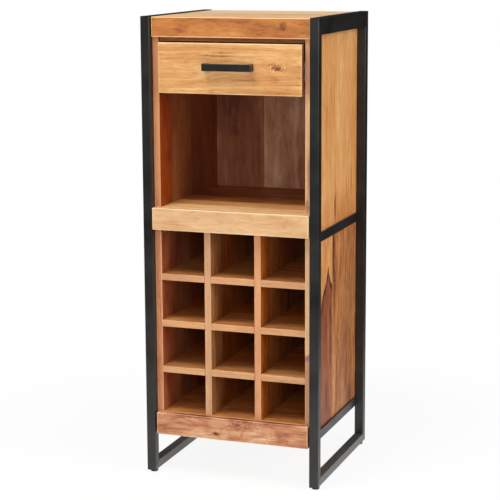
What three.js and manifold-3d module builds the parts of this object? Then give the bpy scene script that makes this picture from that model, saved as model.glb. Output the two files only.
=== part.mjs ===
import * as THREE from 'three';
import { mergeVertices } from 'three/addons/utils/BufferGeometryUtils.js';
import Module from 'manifold-3d';

// Wine cabinet: solid wood boards between two welded steel side frames, with a drawer on
// telescopic runners, an open compartment and a rack of twelve bottle cells.
// Millimetres, +Z up, front towards -Y, +X to the right of a person facing the front.

// Overall size of the two side frames
const overallWidth = 450;
const overallDepth = 420;
const overallHeight = 1141;

// Steel side frames
const tubeWidth = 23;
const tubeWall = 1.5;
const tubeCornerRadius = 2;
const topRailHeight = 40;
const floorRailHeight = 22;
const weldGap = 0.3;
const barHeight = 23;
const barThickness = 5;
const barArris = 0.6;

// Plastic glides plugged into the floor rails
const glideHeight = 7;
const glideDiameter = 19;
const glideEdgeRadius = 1.5;
const glideInset = 18.5;
const glideStemDiameter = 8;
const glideStemLength = 9;
const glideStemClearance = 0.3;

// Boards
const boardThickness = 16.5;
const backThickness = 8;
const woodArris = 1;
const halvingClearance = 0.3;
const wallFrontSetback = 18.3;
const wallBackSetback = 4;

// Top slab, built up from a board, a deep front lipping and battens under its edges
const topDrop = 1.5;
const topBoardThickness = 22;
const topNoseHeight = 48.3;
const topNoseThickness = 20;
const topNoseSetback = 10;
const topSideGap = 1.2;
const battenWidth = 40;

// Panel that closes the drawer space from above
const ceilingThickness = 10;
const ceilingSetback = 8;

// Shelf at mid height and its front lipping
const shelfNoseHeight = 54;
const shelfNoseProud = 2.5;
const shelfNoseSideGap = 1.5;
const middleBarDrop = 52.5;

// Bottle rack
const cellColumns = 3;
const cellShelves = 3;
const cellHeight = 100.8;
const topCellHeight = 150;

// Apron in front of the bottom board
const apronLevel = 103;
const apronHeight = 55.5;
const apronSetback = 2;
const apronSideGap = 4;
const lowerBarLift = 4.5;

// Drawer
const drawerReveal = 12.4;
const drawerFrontHeight = 121;
const drawerFrontThickness = 18;
const drawerFrontSetback = 4.5;
const drawerFrontSideGap = 4.3;
const drawerBoxHeight = 94;
const drawerBoxLift = 10.2;
const drawerBoxThickness = 12;
const drawerBackRoom = 33.5;
const drawerBottomThickness = 5;
const drawerBottomLift = 8;
const grooveDepth = 6;
const grooveClearance = 0.2;
const boxArris = 0.6;

// Telescopic runners: three nested channels of sheet steel on each side
const runnerWidth = 12.7;
const runnerHeight = 45;
const runnerSheet = 1.2;
const runnerRace = 3.4;
const runnerClearance = 0.6;
const runnerFrontSetback = 2;
const runnerLift = 23;
const cabinetMemberDepth = 9.8;

// Bow handle and its screws
const handleLength = 124;
const handleHeight = 17;
const handleBarThickness = 8;
const handleReach = 22;
const handleLegWidth = 12;
const handleCornerRadius = 2;
const handleArris = 0.8;
const handleLift = 65;
const screwDiameter = 4;
const screwGrip = 8;
const screwHeadDiameter = 8;
const screwHeadHeight = 2.4;
const screwClearance = 0.3;

// Hairline left all round each piece that bears on its neighbours
const seatGap = 0.05;

// Fineness of the curves, and how far a cutter runs past a face
const cornerSteps = 3;
const roundSteps = 20;
const cutterOverrun = 1;

// Planes of the frames and boards
const frameFront = -overallDepth / 2;
const frameBack = overallDepth / 2;
const postInner = overallWidth / 2 - tubeWidth;
const wallInner = postInner - boardThickness;
const wallFront = frameFront + wallFrontSetback;
const wallBack = frameBack - wallBackSetback;
const backFront = wallBack - backThickness;
const topNoseFront = frameFront + topNoseSetback;
const topNoseBack = topNoseFront + topNoseThickness;

// Levels above the floor, from the bottom up
const rackFloor = apronLevel + apronHeight;
const cellPitch = cellHeight + boardThickness;
const shelfUnderside = rackFloor + cellShelves * cellPitch + topCellHeight;
const shelfTop = shelfUnderside + boardThickness;
const lowerBarLevel = apronLevel + lowerBarLift;
const middleBarLevel = shelfTop - middleBarDrop - barHeight;
const wallJoint = middleBarLevel + barHeight / 2;

// Levels above the floor, from the top down
const topSurface = overallHeight - topDrop;
const topBoardUnderside = topSurface - topBoardThickness;
const slabUnderside = topSurface - topNoseHeight;
const drawerFrontTop = slabUnderside - drawerReveal;
const drawerFrontBottom = drawerFrontTop - drawerFrontHeight;

// Places of the drawer
const drawerFrontFace = frameFront + drawerFrontSetback;
const drawerBoxFront = drawerFrontFace + drawerFrontThickness;
const drawerBoxBack = backFront - drawerBackRoom;
const drawerBoxLength = drawerBoxBack - drawerBoxFront;
const drawerBoxOuter = wallInner - runnerWidth;
const drawerBoxInner = drawerBoxOuter - drawerBoxThickness;
const drawerBoxBottom = drawerFrontBottom + drawerBoxLift;
const handleScrewX = (handleLength - handleLegWidth) / 2;
const handleLevel = drawerFrontBottom + handleLift;

// The origin lies under the middle of the whole object, handle included
const handleStandsOut = handleReach - drawerFrontSetback;

const frameSteel = new THREE.MeshStandardMaterial({ color: 0x2b2a29, roughness: 0.45, metalness: 0.6 });
const runnerSteel = new THREE.MeshStandardMaterial({ color: 0xb4b6b8, roughness: 0.35, metalness: 1 });
const glidePlastic = new THREE.MeshStandardMaterial({ color: 0x1c1c1c, roughness: 0.7, metalness: 0 });
const topWood = new THREE.MeshStandardMaterial({ color: 0xcd8750, roughness: 0.5, metalness: 0 });
const drawerWood = new THREE.MeshStandardMaterial({ color: 0xe0a76a, roughness: 0.5, metalness: 0 });
const wallWood = new THREE.MeshStandardMaterial({ color: 0xd4965a, roughness: 0.5, metalness: 0 });
const lowerWallWood = new THREE.MeshStandardMaterial({ color: 0xc07d4c, roughness: 0.5, metalness: 0 });
const rackWood = new THREE.MeshStandardMaterial({ color: 0xd0a070, roughness: 0.5, metalness: 0 });
const boxWood = new THREE.MeshStandardMaterial({ color: 0xc99a66, roughness: 0.6, metalness: 0 });

const solids = await Module();
solids.setup();

// A closed mesh as a solid that can be cut
function toSolid(geometry) {
  const bare = geometry.clone();
  bare.deleteAttribute('normal');
  bare.deleteAttribute('uv');
  const merged = mergeVertices(bare);
  return new solids.Manifold(new solids.Mesh({
    numProp: 3,
    vertProperties: new Float32Array(merged.attributes.position.array),
    triVerts: new Uint32Array(merged.index.array),
  }));
}

// A cut solid as a mesh geometry again
function toGeometry(solid) {
  const mesh = solid.getMesh();
  const geometry = new THREE.BufferGeometry();
  geometry.setAttribute('position', new THREE.BufferAttribute(mesh.vertProperties, mesh.numProp));
  geometry.setIndex(new THREE.BufferAttribute(mesh.triVerts, 1));
  geometry.computeVertexNormals();
  return geometry;
}

function place(name, geometry, material, x, y, z) {
  const mesh = new THREE.Mesh(geometry, material);
  mesh.name = name;
  mesh.position.set(x, y, z);
  return mesh;
}

// Takes bores out of a placed piece; they are drawn where they lie in the cabinet
function drill(mesh, bores) {
  let solid = toSolid(mesh.geometry);
  for (const bore of bores) {
    const local = bore.clone().translate(-mesh.position.x, -mesh.position.y, -mesh.position.z);
    solid = solid.subtract(toSolid(local));
  }
  mesh.geometry = toGeometry(solid);
  return mesh;
}

// Turns an extrusion along local Z to run along X, Y or Z: an outline drawn for X holds
// depth and height, one for Y width and height, one for Z width and depth
function orient(geometry, axis, length) {
  if (axis === 'x') {
    const turn = new THREE.Matrix4().makeBasis(
      new THREE.Vector3(0, 1, 0), new THREE.Vector3(0, 0, 1), new THREE.Vector3(1, 0, 0));
    geometry.applyMatrix4(turn);
  } else if (axis === 'y') {
    geometry.rotateX(Math.PI / 2);
    geometry.translate(0, length, 0);
  }
  return geometry;
}

// A prism over an outline, its end edges eased by the arris
function prism(points, axis, length, arris = 0) {
  const shape = new THREE.Shape(points);
  const geometry = new THREE.ExtrudeGeometry(shape, {
    depth: length - 2 * arris,
    bevelEnabled: arris > 0,
    bevelSize: arris,
    bevelThickness: arris,
    bevelOffset: -arris,
    bevelSegments: 1,
    steps: 1,
  });
  geometry.translate(0, 0, arris);
  return orient(geometry, axis, length);
}

function point(x, y) {
  return new THREE.Vector2(x, y);
}

// A board between two corners, all its edges eased by the arris
function board(name, material, low, high, arris = woodArris) {
  const corner = low.map((value) => value + seatGap);
  const [width, depth, height] = high.map((value, axis) => value - seatGap - corner[axis]);
  const outline = [
    point(arris, 0), point(width - arris, 0), point(width, arris), point(width, depth - arris),
    point(width - arris, depth), point(arris, depth), point(0, depth - arris), point(0, arris),
  ];
  return place(name, prism(outline, 'z', height, arris), material, ...corner);
}

// A rectangle about the origin with round corners
function roundedRectangle(width, height, radius) {
  const points = [];
  for (let corner = 0; corner < 4; corner += 1) {
    const sideX = corner === 0 || corner === 3 ? 1 : -1;
    const sideY = corner < 2 ? 1 : -1;
    for (let step = 0; step <= cornerSteps; step += 1) {
      const angle = (corner + step / cornerSteps) * Math.PI / 2;
      points.push(point(
        sideX * (width / 2 - radius) + radius * Math.cos(angle),
        sideY * (height / 2 - radius) + radius * Math.sin(angle)));
    }
  }
  return points;
}

// A hollow tube of round-cornered section, its ends cut on the slant: each end recedes
// from nothing at the outer side of the section to mitre at the inner side
function mitredTube(width, height, axis, length, outerSide, mitreStart, mitreEnd) {
  const section = new THREE.Shape(roundedRectangle(width, height, tubeCornerRadius));
  const bore = roundedRectangle(width - 2 * tubeWall, height - 2 * tubeWall, tubeCornerRadius - tubeWall);
  section.holes.push(new THREE.Path(bore));
  const geometry = new THREE.ExtrudeGeometry(section, { depth: length, bevelEnabled: false, steps: 1 });
  const position = geometry.attributes.position;
  for (let index = 0; index < position.count; index += 1) {
    const inward = 0.5 - outerSide * position.getY(index) / height;
    const atEnd = position.getZ(index) > length / 2;
    position.setZ(index, atEnd ? length - inward * mitreEnd : inward * mitreStart);
  }
  return orient(geometry, axis, length);
}

function cylinder(radius, length, axis) {
  const geometry = new THREE.CylinderGeometry(radius, radius, length, roundSteps);
  if (axis === 'z') {
    geometry.rotateX(Math.PI / 2);
  }
  return geometry;
}

// One post: mitred to the floor rail below and to the deeper top rail above
function post(name, x, facing) {
  const length = overallHeight - glideHeight;
  const geometry = mitredTube(tubeWidth, tubeWidth, 'z', length, facing, floorRailHeight, topRailHeight);
  return place(name, geometry, frameSteel, x, facing * (overallDepth - tubeWidth) / 2, glideHeight);
}

// A rail between the posts, mitred at both ends and cut short by the weld gap
function rail(name, x, height, z, outerSide) {
  const length = overallDepth - 2 * weldGap;
  const tube = mitredTube(tubeWidth, height, 'y', length, outerSide, tubeWidth, tubeWidth);
  return place(name, tube, frameSteel, x, frameFront + weldGap, z);
}

// Bores for the stems of the two glides under one floor rail
function stemBores(x) {
  return [frameFront + glideInset, frameBack - glideInset].map((y) => {
    const bore = cylinder(glideStemDiameter / 2 + glideStemClearance, tubeWall + 2 * cutterOverrun, 'z');
    return bore.translate(x, y, glideHeight + tubeWall / 2);
  });
}

// A flat bar between the posts, against the outer face of the wall board
function flatBar(name, side, level) {
  const x = side > 0 ? postInner : -postInner - barThickness;
  const low = [x, frameFront + tubeWidth, level];
  const high = [x + barThickness, frameBack - tubeWidth, level + barHeight];
  return board(name, frameSteel, low, high, barArris);
}

// A turned glide: a disc with a round lower edge and a stem on top
function glide(name, x, y) {
  const radius = glideDiameter / 2;
  const stem = glideStemDiameter / 2;
  const profile = [point(0, 0)];
  for (let step = 0; step <= cornerSteps; step += 1) {
    const angle = step / cornerSteps * Math.PI / 2;
    profile.push(point(
      radius - glideEdgeRadius + glideEdgeRadius * Math.sin(angle),
      glideEdgeRadius - glideEdgeRadius * Math.cos(angle)));
  }
  profile.push(point(radius, glideHeight - seatGap), point(stem, glideHeight - seatGap));
  profile.push(point(stem, glideHeight + glideStemLength), point(0, glideHeight + glideStemLength));
  const geometry = new THREE.LatheGeometry(profile, roundSteps);
  geometry.rotateX(Math.PI / 2);
  return place(name, geometry, glidePlastic, x, y, 0);
}

function sideFrame(label, side) {
  const group = new THREE.Group();
  const x = side * (overallWidth - tubeWidth) / 2;
  const floorRail = rail(`floor_rail_${label}`, x, floorRailHeight, glideHeight + floorRailHeight / 2, -1);
  group.add(
    post(`post_front_${label}`, x, -1),
    post(`post_back_${label}`, x, 1),
    rail(`top_rail_${label}`, x, topRailHeight, overallHeight - topRailHeight / 2, 1),
    drill(floorRail, stemBores(x)),
    flatBar(`middle_bar_${label}`, side, middleBarLevel),
    flatBar(`lower_bar_${label}`, side, lowerBarLevel),
    glide(`glide_front_${label}`, x, frameFront + glideInset),
    glide(`glide_back_${label}`, x, frameBack - glideInset),
  );
  return group;
}

// The upper wall board runs up to the top board and is notched for the top's lipping
function upperWall(name, low) {
  const front = wallFront + seatGap;
  const back = wallBack - seatGap;
  const bottomLevel = wallJoint + seatGap;
  const outline = [
    point(0, 0), point(back - front, 0), point(back - front, topBoardUnderside - seatGap - bottomLevel),
    point(topNoseBack + seatGap - front, topBoardUnderside - seatGap - bottomLevel),
    point(topNoseBack + seatGap - front, slabUnderside - seatGap - bottomLevel),
    point(0, slabUnderside - seatGap - bottomLevel),
  ];
  const geometry = prism(outline, 'x', boardThickness - 2 * seatGap, woodArris);
  return place(name, geometry, wallWood, low + seatGap, front, bottomLevel);
}

function walls(label, side) {
  const group = new THREE.Group();
  const low = side > 0 ? wallInner : -postInner;
  group.add(
    board(`wall_lower_${label}`, lowerWallWood,
      [low, wallFront, lowerBarLevel], [low + boardThickness, wallBack, wallJoint]),
    upperWall(`wall_upper_${label}`, low),
  );
  return group;
}

// The top board lies on the walls, with its lipping in front and battens below it
function topSlab() {
  const group = new THREE.Group();
  const edge = postInner - topSideGap;
  const battenEdge = wallInner - battenWidth;
  const battenBack = backFront - battenWidth;
  group.add(
    board('top_board', topWood, [-edge, topNoseBack, topBoardUnderside], [edge, wallBack, topSurface]),
    board('top_nose', topWood, [-edge, topNoseFront, slabUnderside], [edge, topNoseBack, topSurface]),
    board('top_batten_left', topWood,
      [-wallInner, topNoseBack, slabUnderside], [-battenEdge, backFront, topBoardUnderside]),
    board('top_batten_right', topWood,
      [battenEdge, topNoseBack, slabUnderside], [wallInner, backFront, topBoardUnderside]),
    board('top_batten_back', topWood,
      [-battenEdge, battenBack, slabUnderside], [battenEdge, backFront, topBoardUnderside]),
    board('drawer_ceiling', wallWood,
      [-wallInner, wallFront + ceilingSetback, slabUnderside - ceilingThickness],
      [wallInner, backFront, slabUnderside]),
  );
  return group;
}

function middleShelf() {
  const group = new THREE.Group();
  const edge = postInner - shelfNoseSideGap;
  group.add(
    board('shelf_board', wallWood, [-wallInner, wallFront, shelfUnderside], [wallInner, backFront, shelfTop]),
    board('shelf_nose', drawerWood,
      [-edge, frameFront - shelfNoseProud, shelfTop - shelfNoseHeight], [edge, wallFront, shelfTop]),
  );
  return group;
}

function bottom() {
  const group = new THREE.Group();
  const edge = postInner - apronSideGap;
  group.add(
    board('bottom_board', wallWood,
      [-wallInner, wallFront, rackFloor - boardThickness], [wallInner, backFront, rackFloor]),
    board('apron', topWood, [-edge, frameFront + apronSetback, apronLevel], [edge, wallFront, rackFloor]),
  );
  return group;
}

// Two panels close the back between the walls and meet behind the middle shelf
function backPanels() {
  const group = new THREE.Group();
  const panelJoint = shelfUnderside + boardThickness / 2;
  group.add(
    board('back_panel_lower', wallWood,
      [-wallInner, backFront, rackFloor - boardThickness], [wallInner, wallBack, panelJoint]),
    board('back_panel_upper', wallWood,
      [-wallInner, backFront, panelJoint], [wallInner, wallBack, topBoardUnderside]),
  );
  return group;
}

// Outline of a board with slots sawn into its far long edge
function slottedOutline(length, width, slots, slotDepth) {
  const points = [point(0, 0), point(length, 0), point(length, width)];
  for (const [start, end] of [...slots].reverse()) {
    points.push(point(end, width), point(end, width - slotDepth));
    points.push(point(start, width - slotDepth), point(start, width));
  }
  points.push(point(0, width));
  return points;
}

// The rack is halved together: dividers are slotted from the back, shelves from the front
function bottleRack() {
  const group = new THREE.Group();
  const depth = backFront - wallFront;
  const slotDepth = (depth + halvingClearance) / 2;
  const cellWidth = (2 * wallInner - (cellColumns - 1) * boardThickness) / cellColumns;
  const shelfSlots = [];
  for (let column = 1; column < cellColumns; column += 1) {
    const start = column * cellWidth + (column - 1) * boardThickness;
    shelfSlots.push([start - halvingClearance, start + boardThickness + halvingClearance]);
  }
  const dividerSlots = [];
  for (let row = 1; row <= cellShelves; row += 1) {
    const start = row * cellPitch - boardThickness;
    dividerSlots.push([start - halvingClearance, start + boardThickness + halvingClearance]);
  }
  const dividerOutline = slottedOutline(shelfUnderside - rackFloor, depth, dividerSlots, slotDepth);
  for (let column = 1; column < cellColumns; column += 1) {
    const geometry = prism(dividerOutline, 'z', boardThickness, woodArris);
    const divider = place(`rack_divider_${column}`, geometry, rackWood,
      column * (cellWidth + boardThickness) - wallInner, wallFront, rackFloor);
    divider.rotation.y = -Math.PI / 2;
    group.add(divider);
  }
  const shelfOutline = slottedOutline(2 * wallInner, depth, shelfSlots, slotDepth);
  for (let row = 1; row <= cellShelves; row += 1) {
    const geometry = prism(shelfOutline, 'z', boardThickness, woodArris);
    const shelf = place(`rack_shelf_${row}`, geometry, rackWood,
      wallInner, backFront, rackFloor + row * cellPitch - boardThickness);
    shelf.rotation.z = Math.PI;
    group.add(shelf);
  }
  return group;
}

// Section of a drawer box board, its groove for the bottom panel open towards zero
function groovedOutline(side) {
  const low = drawerBottomLift - grooveClearance;
  const high = drawerBottomLift + drawerBottomThickness + grooveClearance;
  return [
    point(0, 0), point(side * drawerBoxThickness, 0), point(side * drawerBoxThickness, drawerBoxHeight),
    point(0, drawerBoxHeight), point(0, high), point(side * grooveDepth, high),
    point(side * grooveDepth, low), point(0, low),
  ];
}

// Bores for the handle's two screws, through both fronts and into the handle's legs
function screwBores() {
  const start = drawerFrontFace - screwGrip - screwClearance;
  const end = drawerBoxFront + drawerBoxThickness + cutterOverrun;
  return [-1, 1].map((side) => {
    const bore = cylinder(screwDiameter / 2 + screwClearance, end - start, 'y');
    return bore.translate(side * handleScrewX, (start + end) / 2, handleLevel);
  });
}

function drawerBox(bores) {
  const group = new THREE.Group();
  const left = seatGap - drawerBoxInner;
  const width = 2 * (drawerBoxInner - seatGap);
  const frontBack = drawerBoxFront + drawerBoxThickness;
  const backFace = drawerBoxBack - drawerBoxThickness;
  const tongue = grooveDepth - grooveClearance;
  const bottomLevel = drawerBoxBottom + drawerBottomLift;
  const boxFront = place('drawer_box_front', prism(groovedOutline(-1), 'x', width), boxWood,
    left, frontBack, drawerBoxBottom);
  group.add(
    drill(boxFront, bores),
    place('drawer_box_back', prism(groovedOutline(1), 'x', width), boxWood, left, backFace, drawerBoxBottom),
    place('drawer_side_left', prism(groovedOutline(-1), 'y', drawerBoxLength, boxArris), boxWood,
      -drawerBoxInner, drawerBoxFront, drawerBoxBottom),
    place('drawer_side_right', prism(groovedOutline(1), 'y', drawerBoxLength, boxArris), boxWood,
      drawerBoxInner, drawerBoxFront, drawerBoxBottom),
    board('drawer_bottom', boxWood,
      [-drawerBoxInner - tongue, frontBack - tongue, bottomLevel],
      [drawerBoxInner + tongue, backFace + tongue, bottomLevel + drawerBottomThickness], boxArris),
  );
  return group;
}

function drawerFront() {
  const half = wallInner - drawerFrontSideGap;
  return board('drawer_front', drawerWood,
    [-half, drawerFrontFace, drawerFrontBottom], [half, drawerBoxFront, drawerFrontTop]);
}

// Bow handle seen from above: a bar with a leg at each end, its corners round
function handleOutline() {
  const half = handleLength / 2;
  const legInner = half - handleLegWidth;
  const radius = handleCornerRadius;
  const right = [];
  for (let step = 0; step <= cornerSteps; step += 1) {
    const angle = step / cornerSteps * Math.PI / 2;
    right.push(point(half - radius + radius * Math.sin(angle), radius - radius * Math.cos(angle)));
  }
  right.push(point(half, handleReach), point(legInner, handleReach));
  for (let step = 0; step <= cornerSteps; step += 1) {
    const angle = step / cornerSteps * Math.PI / 2;
    right.push(point(
      legInner - radius + radius * Math.cos(angle),
      handleBarThickness + radius - radius * Math.sin(angle)));
  }
  const left = [...right].reverse().map((corner) => point(-corner.x, corner.y));
  return [...right, ...left];
}

function handle() {
  const geometry = prism(handleOutline(), 'z', handleHeight, handleArris);
  const low = handleLevel - handleHeight / 2;
  return place('handle', geometry, frameSteel, 0, drawerFrontFace - handleReach, low);
}

// A screw from inside the drawer into the handle's leg
function handleScrew(label, side) {
  const length = drawerFrontThickness + drawerBoxThickness + screwGrip;
  const shank = screwDiameter / 2;
  const head = screwHeadDiameter / 2;
  const profile = [
    point(0, 0), point(shank, 0), point(shank, length), point(head, length),
    point(head, length + screwHeadHeight / 2), point(shank, length + screwHeadHeight),
    point(0, length + screwHeadHeight),
  ];
  const geometry = new THREE.LatheGeometry(profile, roundSteps);
  return place(`handle_screw_${label}`, geometry, runnerSteel,
    side * handleScrewX, drawerFrontFace - screwGrip, handleLevel);
}

function drawer() {
  const group = new THREE.Group();
  const bores = screwBores();
  group.add(
    drawerBox(bores),
    drill(drawerFront(), bores),
    drill(handle(), bores),
    handleScrew('left', -1),
    handleScrew('right', 1),
  );
  return group;
}

// A channel section: a web, two flanges towards plus depth, and lips turned in by lip
function channelOutline(side, halfHeight, depth, lip) {
  const sheet = runnerSheet;
  const upper = [point(depth, halfHeight), point(0, halfHeight)];
  const inner = [point(sheet, halfHeight - sheet)];
  if (lip > sheet) {
    inner.push(point(depth - sheet, halfHeight - sheet), point(depth - sheet, halfHeight - lip));
    inner.push(point(depth, halfHeight - lip));
  } else {
    inner.push(point(depth, halfHeight - sheet));
  }
  const half = [...inner, ...upper];
  const lower = half.map((corner) => point(corner.x, -corner.y)).reverse();
  return [...lower, ...half].map((corner) => point(side * corner.x, corner.y));
}

// Each member's flanges stand off the next one's by a race for the balls, and the lips
// close the race to a running clearance
function runner(label, side) {
  const group = new THREE.Group();
  const length = drawerBoxLength - runnerFrontSetback;
  const y = drawerBoxFront + runnerFrontSetback;
  const z = drawerBoxBottom + runnerLift + runnerHeight / 2;
  const lip = runnerSheet + runnerRace - runnerClearance;
  const cabinetHalf = runnerHeight / 2;
  const middleHalf = cabinetHalf - runnerSheet - runnerRace;
  const drawerHalf = middleHalf - runnerSheet - runnerRace;
  const middleStart = runnerSheet + runnerClearance;
  const middleDepth = runnerWidth - runnerSheet - runnerClearance - middleStart;
  const drawerDepth = runnerWidth - middleStart - runnerSheet - runnerClearance;
  const members = [
    ['cabinet', channelOutline(-side, cabinetHalf, cabinetMemberDepth, lip), wallInner],
    ['middle', channelOutline(-side, middleHalf, middleDepth, lip), wallInner - middleStart],
    ['drawer', channelOutline(side, drawerHalf, drawerDepth, 0), wallInner - runnerWidth],
  ];
  for (const [member, outline, x] of members) {
    const geometry = prism(outline, 'y', length);
    group.add(place(`runner_${member}_${label}`, geometry, runnerSteel, side * x, y, z));
  }
  return group;
}

const cabinet = new THREE.Group();
cabinet.position.y = handleStandsOut / 2;
for (const [label, side] of [['left', -1], ['right', 1]]) {
  cabinet.add(sideFrame(label, side), walls(label, side), runner(label, side));
}
cabinet.add(topSlab(), middleShelf(), bottom(), backPanels(), bottleRack(), drawer());

export default cabinet;
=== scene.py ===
# %% [markdown]
# # A wine cabinet of mango wood and black steel
#
# This lesson dresses a finished CAD model for a studio picture. The cabinet is built of solid
# boards that hang between two welded steel frames. It has one drawer, an open compartment and
# a rack of twelve cells.
#
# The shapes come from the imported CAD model, so this file is mostly about surfaces: how glued
# planks, end grain, powder coat and zinc look, and how each of them is made from nodes.

# %% Load the model
import math
import random

import bpy
from mathutils import Matrix, Vector


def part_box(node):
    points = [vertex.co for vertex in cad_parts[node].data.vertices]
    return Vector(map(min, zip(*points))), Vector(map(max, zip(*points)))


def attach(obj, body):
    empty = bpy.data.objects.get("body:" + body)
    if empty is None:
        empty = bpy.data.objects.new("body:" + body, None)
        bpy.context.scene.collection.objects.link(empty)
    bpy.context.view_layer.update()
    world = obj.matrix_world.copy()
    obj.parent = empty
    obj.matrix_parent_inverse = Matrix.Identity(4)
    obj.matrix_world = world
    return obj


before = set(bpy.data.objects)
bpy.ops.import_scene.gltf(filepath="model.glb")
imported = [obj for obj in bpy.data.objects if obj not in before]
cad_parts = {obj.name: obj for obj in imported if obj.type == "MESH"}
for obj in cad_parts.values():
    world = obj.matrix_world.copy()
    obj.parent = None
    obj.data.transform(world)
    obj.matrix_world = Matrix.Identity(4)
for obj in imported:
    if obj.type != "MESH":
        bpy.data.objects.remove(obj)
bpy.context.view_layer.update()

# %% [markdown]
# ## The camera
#
# The picture was taken from the right of the front, a little above the top, with a long lens.
# A long lens far away keeps the posts nearly parallel, which suits tall furniture. The turn of
# the camera is built from three plain turns: round the upright, then down, then a slight tilt.

# %% Camera
CAMERA_PLACE = Vector((1.3410, -3.7700, 1.3069))
CAMERA_TURN = (math.radians(19.845), math.radians(10.212), math.radians(-0.28))
LENS_MM, SENSOR_MM = 115.83, 36
PICTURE_SHIFT = -0.03

bpy.ops.object.camera_add()
camera = bpy.context.object
camera.name = "camera"
round_upright, downwards, tilt = CAMERA_TURN
camera.matrix_world = (
    Matrix.Translation(CAMERA_PLACE)
    @ Matrix.Rotation(round_upright, 4, "Z")
    @ Matrix.Rotation(math.pi / 2 - downwards, 4, "X")
    @ Matrix.Rotation(tilt, 4, "Z")
)
camera.data.lens = LENS_MM
camera.data.sensor_width = SENSOR_MM
camera.data.shift_y = PICTURE_SHIFT
bpy.context.scene.camera = camera
bpy.context.scene.view_settings.view_transform = "Standard"
print("camera is", round(CAMERA_PLACE.length, 2), "m from the cabinet's foot")

# %% [markdown]
# ## Two small helpers
#
# Colours are easiest to choose as the hex values that a picture editor shows, but Blender
# computes with linear light, so one function converts them. The other function adds one
# shader node with its settings and links, which keeps every material short to read.

# %% Colour and node helpers
def linear(hex_colour):
    """A colour such as #c98650 as linear red, green, blue and full alpha."""
    shares = [int(hex_colour[i:i + 2], 16) / 255 for i in (1, 3, 5)]
    return [s / 12.92 if s <= 0.04045 else ((s + 0.055) / 1.055) ** 2.4 for s in shares] + [1.0]


def add(tree, kind, settings=None, **inputs):
    """One node: settings are its properties, inputs are values or sockets to link.

    An input is named as in Blender with spaces left out, or i0, i1, ... by its place."""
    node = tree.nodes.new("ShaderNode" + kind)
    for name, value in (settings or {}).items():
        setattr(node, name, value)
    by_name = {socket.name.replace(" ", ""): socket for socket in reversed(node.inputs)}
    for name, value in inputs.items():
        socket = node.inputs[int(name[1:])] if name[1:].isdigit() else by_name[name]
        if isinstance(value, bpy.types.NodeSocket):
            tree.links.new(value, socket)
        else:
            socket.default_value = value
    return node


def new_material(name):
    """An empty material, and the tree to fill."""
    material = bpy.data.materials.new(name)
    material.use_nodes = True
    material.node_tree.nodes.clear()
    return material, material.node_tree


def dress(node_names, material):
    """Gives CAD nodes a material in place of the plain one from the CAD model."""
    for name in node_names:
        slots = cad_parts[name].material_slots
        for slot in slots:
            slot.material = material


print("helpers ready; mid brown in linear light:", [round(c, 3) for c in linear("#c98650")[:3]])

# %% [markdown]
# ## The studio
#
# The cabinet stands on a white floor in front of white. A white that comes from extra light
# would also bleach the wood, so the white is a matter of who looks: the camera sees a floor
# that is mostly its own white with a share of the real shadow, and matt surfaces see plain
# pale paper that bounces light up. Reflections see white paper near the cabinet and a dim
# studio floor farther out, so the steel is black above and greyer near its feet.

# %% Floor
FLOOR_RADIUS = 3.2
SHADOW_SHARE = 0.10
SHADOW_FADES_FROM, SHADOW_FADES_TO = 0.5, 1.3
MIRRORED_NEAR, MIRRORED_FAR = 0.80, 0.08
MIRROR_DIMS_FROM, MIRROR_DIMS_TO = 0.4, 1.9

bpy.ops.object.select_all(action="DESELECT")
bpy.ops.mesh.primitive_circle_add(vertices=96, radius=FLOOR_RADIUS, fill_type="NGON")
floor = bpy.context.object
floor.name = "studio_floor"

paper, tree = new_material("matt_white_paper")
place = add(tree, "TexCoord").outputs["Object"]
distance = add(tree, "VectorMath", {"operation": "LENGTH"}, i0=place).outputs["Value"]
shadow_share = add(tree, "MapRange", {"interpolation_type": "SMOOTHSTEP"}, Value=distance,
                   FromMin=SHADOW_FADES_FROM, FromMax=SHADOW_FADES_TO, ToMin=SHADOW_SHARE, ToMax=0.0)
bounce = add(tree, "BsdfDiffuse", Color=linear("#f4f4f2"))
glow = add(tree, "Emission", Color=linear("#ffffff"), Strength=1.0)
seen = add(tree, "MixShader", i0=shadow_share.outputs[0], i1=glow.outputs[0], i2=bounce.outputs[0])
fading = add(tree, "MapRange", {"interpolation_type": "SMOOTHSTEP"}, Value=distance,
             FromMin=MIRROR_DIMS_FROM, FromMax=MIRROR_DIMS_TO, ToMin=MIRRORED_NEAR, ToMax=MIRRORED_FAR)
mirrored = add(tree, "Emission", Color=linear("#ffffff"), Strength=fading.outputs[0])
path = add(tree, "LightPath").outputs
finish = add(tree, "MixShader", i0=path["Is Camera Ray"], i1=bounce.outputs[0], i2=seen.outputs[0])
finish = add(tree, "MixShader", i0=path["Is Glossy Ray"], i1=finish.outputs[0], i2=mirrored.outputs[0])
add(tree, "OutputMaterial", Surface=finish.outputs[0])
floor.data.materials.append(paper)
print("floor is a disc with a radius of", FLOOR_RADIUS, "m")

# %% [markdown]
# The world lights the cabinet softly from all sides, and more from above, where a studio has
# its pale ceiling. Glossy rays see it too: white far down, where the paper lies, and dim all
# round, as the walls of a studio are, but less so in front, where the lamps stand. That keeps
# the black frame black, with front faces a little lighter than side faces.

# %% World
SKY_LIGHT = 0.25
CEILING_LIGHT = 0.40
BRIGHT_FRONT, DIM_BACK = 0.36, 0.03
PAPER_BELOW, WALLS_ABOVE = -0.60, -0.25

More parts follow.
